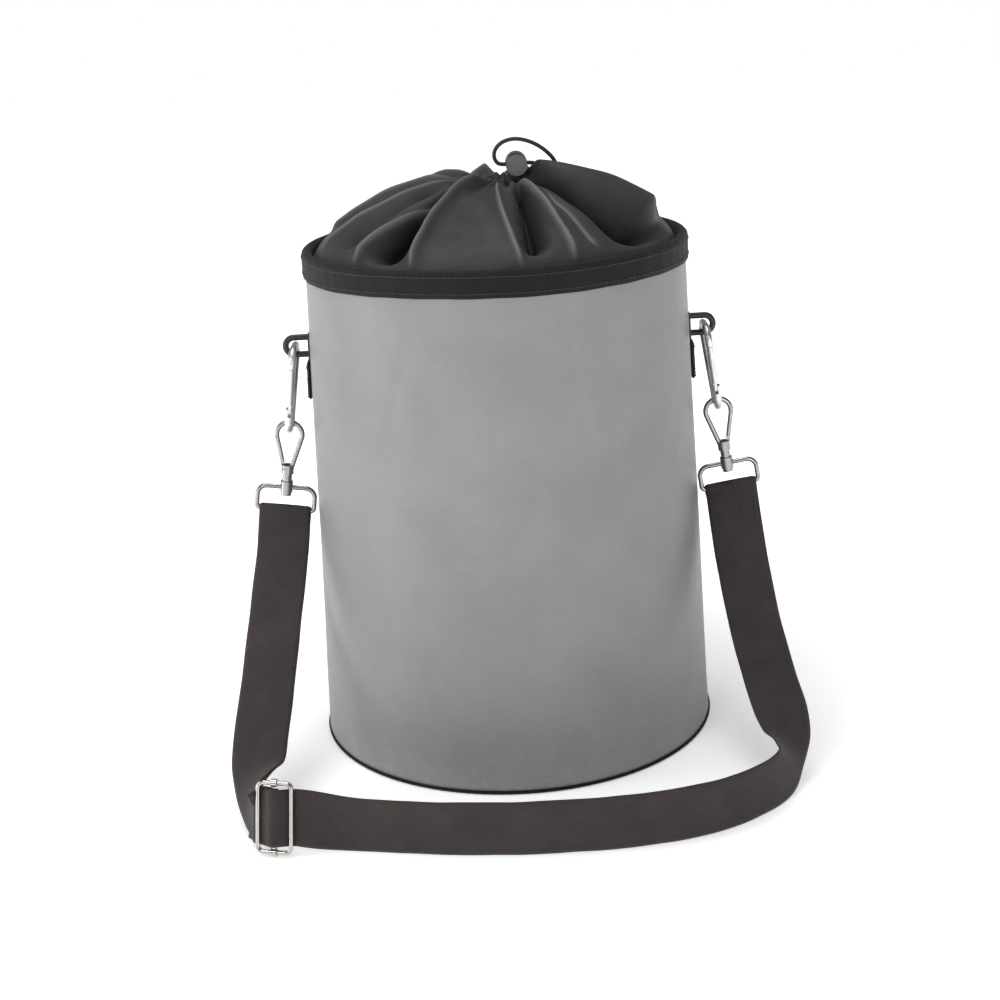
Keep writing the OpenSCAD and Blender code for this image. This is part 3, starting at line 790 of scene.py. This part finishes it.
def make_hem():
    """The channel in which the cord runs, bunched into small pleats round the mouth."""
    turn = np.linspace(0, 2 * math.pi, 361)[:, None]
    section = np.linspace(0, 2 * math.pi, 25)[None, :]
    pleat = np.cos(17 * turn + 1.6 * np.sin(2 * turn + 1) + 0.5 * np.sin(section))
    minor = (5.0 + 0.75 * pleat * (1 + 0.4 * np.sin(section)) + 0.25 * np.cos(5 * turn)) * MM
    major = (13.9 + 0.9 * np.cos(3 * turn + 0.4)) * MM
    r = major + minor * np.cos(section)
    mouth_run, section_run = 28 * MM, 5 * MM
    z = HEM.z - 0.4 * MM + 0.95 * minor * np.sin(section)
    points = np.stack([HEM.x + r * np.sin(turn), HEM.y - r * np.cos(turn), z], -1)
    hem = grid("collar_hem_channel", points, turn * mouth_run, section * section_run, close_cols=True)
    finished(hem, NYLON, stands_for=["collar_hem"])


# ================ side tabs ================

def make_side_tab(name, side):
    """A folded webbing patch on the wall that holds the moulded loop, with a box of stitches."""
    node = f"side_tab_{name}"
    low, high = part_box(node)
    half_w = (high.y - low.y) / 2
    z0, z1 = low.z, high.z
    reach = max(abs(low.x), abs(high.x))
    thick = reach - wall_radius((z0 + z1) / 2)
    rows, columns = 44, 26
    # v runs across the patch from -1 to 1, and h up it from 0 to 1
    v = np.linspace(-1, 1, columns)[None, :]
    h = np.linspace(0, 1, rows)[:, None]
    y = half_w * v * (1 - 0.012 * np.cos(14 * math.pi * h))
    z = z0 + (z1 - z0) * h + 0 * v
    edge = np.minimum(smoothstep((1 - np.abs(v)) / 0.12), smoothstep(np.minimum(h, 1 - h) / 0.04))
    crown = thick * (0.55 + 0.4 * edge) + 0.18 * MM * np.cos(2.2 * math.pi * v) * edge
    fold = 0.5 * MM * bump(h, 0.86, 0.05) + 0.5 * MM * bump(h, 0.05, 0.03)
    front = np.sqrt(wall_radius(z) ** 2 - y ** 2) + crown + fold * edge
    back = np.sqrt(wall_radius(z) ** 2 - y ** 2) + 0.1 * MM + 0 * front
    faces_out = np.stack([side * front, side * y, z], -1)
    faces_in = np.stack([side * back, side * y, z], -1)
    uv = np.stack(np.broadcast_arrays(z - z0, y), -1)
    under = rows * columns
    rim = [(0, j) for j in range(columns)] + [(i, columns - 1) for i in range(1, rows)]
    rim += [(rows - 1, j) for j in range(columns - 2, -1, -1)] + [(i, 0) for i in range(rows - 2, 0, -1)]
    ids = [i * columns + j for i, j in rim]
    walls = [[a, b, b + under, a + under] for a, b in zip(ids, ids[1:] + ids[:1])]
    inner = [f[::-1] for f in grid_faces(rows, columns, start=under)]
    verts = np.concatenate([faces_out.reshape(-1, 3), faces_in.reshape(-1, 3)])
    tab = link(f"side_tab_{name}_webbing", verts, grid_faces(rows, columns) + inner + walls,
               np.concatenate([uv.reshape(-1, 2)] * 2))
    finished(tab, TRIM, stands_for=[node])
    corners = [(-0.78, 0.1), (0.78, 0.1), (0.78, 0.55), (-0.78, 0.55), (-0.78, 0.1), (0.78, 0.55)]
    parts = []
    for (a, b), (c, d) in zip(corners, corners[1:]):
        line = np.linspace(0, 1, 24)
        yy = half_w * (a + (c - a) * line)
        zz = z0 + (z1 - z0) * (b + (d - b) * line)
        xx = np.sqrt(wall_radius(zz) ** 2 - yy ** 2) + thick * 0.97
        path = np.stack([side * xx, side * yy, zz], 1)
        outs = unit(np.stack([side * xx, side * yy, 0 * zz], 1))
        parts += stitch_row(path, outs, 2.6 * MM, 0.28 * MM)
    finished(joined(f"side_tab_{name}_stitches", parts), GREY_THREAD)


# ================ strap ================

WEB_W, WEB_T = 38 * MM, 1.7 * MM
LAYER = 2.2 * MM
RING_ROD = 1.8 * MM
LEAN = math.radians(8.2)
# The ring's lower bar hangs this far down the leaning line from the carabiner's top rod
LINE_TOP, BAR_DROP = (148.5 * MM, 293.3 * MM), 123.5 * MM
RING_BAR = (LINE_TOP[0] + BAR_DROP * math.sin(LEAN), LINE_TOP[1] - BAR_DROP * math.cos(LEAN))
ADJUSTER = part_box("adjuster_bar")
ADJUSTER_TURN, ADJUSTER_TIP = math.radians(-14), math.radians(-15)

# Rows of [middle of the webbing, way its width runs], in millimetres, as in part.scad
RAMP_R = [[[166.6, -6.6, 164.5], [-1, 0, -0.144]], [[168, -22, 140], [-1, 0, -0.1]],
          [[170, -38, 118], [-1, 0, -0.05]], [[172, -58, 96], [-1, 0, 0]], [[174.5, -80, 78], [-1, 0, 0]],
          [[177.5, -105, 61], [-1, 0, 0]], [[180.5, -128, 48], [-1, 0.1, 0.1]],
          [[182, -145, 38], [-0.9, 0.1, 0.45]], [[182, -158, 29], [-0.55, 0, 0.85]],
          [[179, -170, 22], [-0.25, 0, 1]]]
FRONT = [[[170, -183, 19.8], [-0.1, 0, 1]], [[156, -196, 19.3], [0, 0, 1]], [[138, -208, 19.3], [0, 0, 1]],
         [[119, -217, 19.3], [0, 0, 1]], [[94, -224, 19.3], [0, 0, 1]], [[66, -228.5, 19.3], [0, 0, 1]],
         [[30, -230.5, 19.3], [0, 0, 1]], [[-12, -229.5, 19.3], [0, 0, 1]], [[-52, -225, 19.3], [0, 0, 1]],
         [[-91, -217.5, 19.3], [0, 0, 1]], [[-122, -211, 20], [0, 0.1, 1]]]
RAMP_L = [[[-180.3, -196, 25], [0.1, 0.3, 1]], [[-182.5, -183, 26.5], [0.4, 0.2, 1]],
          [[-183, -168, 31.5], [0.75, 0.05, 0.75]], [[-181.5, -151, 39], [1, 0.1, 0.3]],
          [[-180.5, -132, 50], [1, 0, 0]], [[-178.5, -110, 65], [1, 0, 0]], [[-176, -84, 85], [1, 0, 0]],
          [[-173.5, -60, 106], [1, 0, 0]], [[-170.5, -38, 128], [1, 0, -0.05]],
          [[-168, -20, 147], [1, 0, -0.1]], [[-166.6, -6.6, 164.5], [1, 0, -0.144]]]
# Across the adjuster: [millimetres along its width, millimetres in front of its plane]
OVER_BAR = [[19, -3.2], [11.5, -3.0], [6, 0.3], [0, 4.7], [-6, 0.3], [-11.5, -3.0], [-15, -4.5]]
SEWN_END = [[-17, -8.8], [-11.5, -7.2], [-5, -4.7], [0, -2.7], [2.7, 0], [0, 2.7], [-2.8, 0.2], [-5.5, -2.8],
            [-11.5, -5.1], [-16, -7]]


def row(point, across):
    """One row of a band, in metres, from a row in millimetres."""
    return np.array(point, float) * MM, unit(across)


def adjuster_rows(steps):
    """Rows that thread the webbing through the adjuster, from its [along, in front] steps."""
    middle = (np.array(ADJUSTER[0]) + np.array(ADJUSTER[1])) / 2
    turn = Matrix.Rotation(ADJUSTER_TURN, 3, "Z") @ Matrix.Rotation(math.radians(90) + ADJUSTER_TIP, 3, "X")
    width, length, front = (np.array(turn.col[k]) for k in range(3))
    return [(middle + (a * width + f * front) * MM, length) for a, f in steps]


def ring_wrap(side, start, end, steps=9):
    """Rows over a ring's lower bar, by angles from +Y that lean with the ring."""
    bar_x = RING_BAR[0] * side
    radius = RING_ROD + 0.3 * MM + WEB_T / 2
    up = np.array([-side * math.sin(LEAN), 0, math.cos(LEAN)])
    across = np.array([-side * math.cos(LEAN), 0, -math.sin(LEAN)])
    rows = []
    for a in np.radians(np.linspace(start, end, steps)):
        offset = radius * (math.cos(a) * np.array([0, 1.0, 0]) + math.sin(a) * up)
        rows.append((np.array([bar_x, 0, RING_BAR[1]]) + offset, across))
    return rows


def frames(rows):
    """Heading, width direction and outward direction at each row."""
    points = np.array([r[0] for r in rows])
    across = np.array([r[1] for r in rows])
    heading = unit(np.gradient(points, axis=0))
    across = unit(across - (across * heading).sum(1, keepdims=True) * heading)
    return points, across, np.cross(heading, across)


def lined(rows):
    """The layer of webbing on the bag's side of these rows."""
    points, across, out = frames(rows)
    return [(p + LAYER * o, a) for p, a, o in zip(points, across, out)]


class Band:
    """Webbing along rows, smooth, with (point, width, outward) known at any length."""

    def __init__(self, rows, step=1.6 * MM):
        data = np.array([np.concatenate([p, a]) for p, a in rows])
        fine = catmull(data, 10)
        s = along(fine[:, :3])
        count = int(round(s[-1] / step))
        self.s = np.linspace(0, s[-1], count + 1)
        data = np.stack([np.interp(self.s, s, fine[:, k]) for k in range(6)], 1)
        self.points, self.across, self.out = frames([(d[:3], d[3:]) for d in data])

    def at(self, s, v, lift):
        """The point at length s, share v of the half width across, lift metres off the middle."""
        pick = [np.stack([np.interp(s, self.s, x[:, k]) for k in range(3)], -1)
                for x in (self.points, self.across, self.out)]
        v, lift = np.asarray(v)[..., None], np.asarray(lift)[..., None]
        return pick[0] + pick[1] * v * WEB_W / 2 + pick[2] * lift

    def mesh(self, name):
        """A closed band: thicker woven edges, a little cupped, never quite flat."""
        cup = 0.25 * MM
        v = np.concatenate([np.linspace(-1, 1, 17), np.linspace(1, -1, 17)])
        side = np.concatenate([np.ones(17), -np.ones(17)])
        edge = np.abs(v)
        rounded = np.sqrt(np.clip(1 - (edge ** 26) * 0.9, 0, 1))
        thick = WEB_T / 2 * (0.86 + 0.14 * bump(edge, 0.9, 0.06)) * rounded
        s = self.s[:, None]
        wander = (0.25 * np.sin(s * 95 + 0.4) + 0.15 * np.sin(s * 240 + 1.0)) * MM
        fade = smoothstep(s / 0.02) * smoothstep((self.s[-1] - s) / 0.02)
        lift = side * thick + (cup * (v ** 2 - 0.4) + wander * 0.5) * fade
        ripple = 1 + 0.006 * np.sin(s * 130 + 0.7 * np.sign(v)) * fade
        points = self.at(np.broadcast_to(s, lift.shape), v * ripple, lift)
        rows, columns = points.shape[:2]
        faces = grid_faces(rows, columns, close_cols=True)
        faces += [list(range(columns))[::-1], [(rows - 1) * columns + j for j in range(columns)]]
        uv = np.stack(np.broadcast_arrays(s, v * WEB_W / 2), -1).reshape(-1, 2)
        return link(name, points.reshape(-1, 3), faces, uv)


def stitched_box(band, s0, s1, wide, side):
    """A box of stitches with a cross in it, on one face of a band between the lengths s0 and s1."""
    lift = side * (WEB_T / 2 + 0.08 * MM)
    corners = [(s0, -wide), (s1, -wide), (s1, wide), (s0, wide), (s0, -wide), (s1, wide)]
    legs = list(zip(corners, corners[1:])) + [((s0, wide), (s1, -wide))]
    parts = []
    for (a, b), (c, d) in legs:
        t = np.linspace(0, 1, 30)
        s, v = a + (c - a) * t, b + (d - b) * t
        path = band.at(s, v, np.full(30, lift))
        outs = band.at(s, v, np.full(30, lift + side * MM)) - path
        parts += stitch_row(path, unit(outs), 2.6 * MM, 0.28 * MM)
    return parts


def make_strap():
    """The strap as one band: from its sewn right end, past the adjuster, round the left ring and back."""
    right, front, left = ([row(*r) for r in rows] for rows in (RAMP_R, FRONT, RAMP_L))
    turned_back = lined(right)[2::-1]
    below = np.array([0.4 * MM, 2.2 * MM, -4.9 * MM])
    foot_r = (np.array([RING_BAR[0], 0, RING_BAR[1]]) + below, np.array([-1, 0, -0.144]))
    foot_l = (np.array([-RING_BAR[0], 0, RING_BAR[1]]) + below * [-1, 1, 1], np.array([1, 0, -0.144]))
    inner = lined(left)[::-1]
    rows = turned_back + [foot_r] + ring_wrap(1, -20, 185) + right + front + adjuster_rows(OVER_BAR)
    rows += left + ring_wrap(-1, 185, -20) + [foot_l] + inner + adjuster_rows(SEWN_END)
    band = Band(rows)
    webbing = band.mesh("strap_webbing_band")
    finished(webbing, WEBBING, "strap", ["strap_webbing"])
    start = along(np.array([r[0] for r in rows[:len(turned_back) + 10]]))[-1]
    parts = stitched_box(band, start + 7 * MM, start + 31 * MM, 0.84, -1)
    parts += stitched_box(band, 4 * MM, 28 * MM, 0.84, -1)
    finished(joined("strap_stitches", parts), GREY_THREAD, "strap")


# ================ carried-over parts ================

NODE_MATERIALS = {
    "carabiner_frame": STEEL, "carabiner_gate": GATE_STEEL, "carabiner_pin": PIN_STEEL,
    "hook_body": HOOK_STEEL, "hook_gate": HOOK_STEEL, "hook_pin": PIN_STEEL, "strap_ring": HOOK_STEEL,
    "side_loop": RUBBER, "adjuster_frame": WIRE_STEEL, "adjuster_bar": WIRE_STEEL,
    "lock_body": LOCK_BLACK, "lock_button": LOCK_GREY,
    "base_board": BOARD, "rim_hoop": BOARD}


def dress_nodes():
    """Gives the CAD pieces that stay as they are their materials and smooth shading."""
    for name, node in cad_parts.items():
        for start, material in NODE_MATERIALS.items():
            if name.startswith(start):
                dress(node, material)
                node.data.polygons.foreach_set("use_smooth", [True] * len(node.data.polygons))
                modifier(node, "EDGE_SPLIT", split_angle=math.radians(40))


# ================ surroundings ================

# Sine of the height where the white band above the floor's far edge ends, and where the sky is dim
BAND_END, DIM_FROM = 0.08, 0.2
SKY_LOW, SKY_HIGH = 1.0, 0.12
# name, place, size in metres, watts
LIGHTS = [("key", (-1.0, -1.6, 1.5), (0.9, 0.9), 10.5), ("fill", (0.9, -1.8, 0.7), (0.7, 1.2), 9),
          ("top", (-0.2, 0.1, 2.0), (1.4, 1.4), 25), ("left_edge", (-1.3, -0.3, 0.35), (0.4, 1.2), 8)]


def area_light(name, where, target, size, power):
    """A white soft box at where that faces target."""
    data = bpy.data.lights.new(name, "AREA")
    data.shape = "RECTANGLE"
    data.size, data.size_y = size
    data.energy = power
    light = bpy.data.objects.new(name, data)
    light.location = where
    light.rotation_euler = (Vector(target) - Vector(where)).to_track_quat("-Z", "Y").to_euler()
    bpy.context.scene.collection.objects.link(light)


def light_studio():
    """Soft boxes round the bag, and a sky that is white just above the floor and dim higher up."""
    world = bpy.data.worlds.new("studio")
    bpy.context.scene.world = world
    world.use_nodes = True
    tree = world.node_tree
    sky = tree.nodes["Background"]
    where = tree.nodes.new("ShaderNodeTexCoord")
    split = tree.nodes.new("ShaderNodeSeparateXYZ")
    ramp = tree.nodes.new("ShaderNodeMapRange")
    tree.links.new(where.outputs["Generated"], split.inputs[0])
    tree.links.new(split.outputs["Z"], ramp.inputs[0])
    for k, value in enumerate((BAND_END, DIM_FROM, SKY_LOW, SKY_HIGH), 1):
        ramp.inputs[k].default_value = value
    tree.links.new(ramp.outputs[0], sky.inputs["Strength"])
    sky.inputs["Color"].default_value = (1, 1, 1, 1)
    middle = (0, 0, 0.2)
    for light in LIGHTS:
        area_light(*light[:2], middle, *light[2:])
    scene = bpy.context.scene
    scene.view_settings.view_transform = "Standard"
    scene.view_settings.look = "None"


def lay_floor():
    """A plain white sheet that glows by its own emission, weakly near the bag and fully towards its far
    edges, so that it runs into the sky and lights the bag from below.
    """
    half = 6
    floor = link("floor", [(-half, -half, 0), (half, -half, 0), (half, half, 0), (-half, half, 0)],
                 [(0, 1, 2, 3)])
    s = Shader("pale_floor", (0.93, 0.93, 0.93), 0.85, specular=0.1)
    away = s.node("ShaderNodeVectorMath", 1, {0: s.place()}, operation="LENGTH")
    # The floor glows: its emission stands in for light, weaker near the bag
    s.set("Emission Color", (1, 1, 1, 1))
    s.feed("Emission Strength", s.ramp(away, 0.2, 0.8, 0.35, 1.0))
    dress(floor, s.material)


aim_camera()
make_drawcord(make_lock_spring())
make_wall()
make_wall_seam()
make_base()
make_piping()
make_binding()
make_collar()
make_hem()
for side_name, side_sign in SIDES.items():
    make_side_tab(side_name, side_sign)
make_strap()
dress_nodes()
light_studio()
lay_floor()
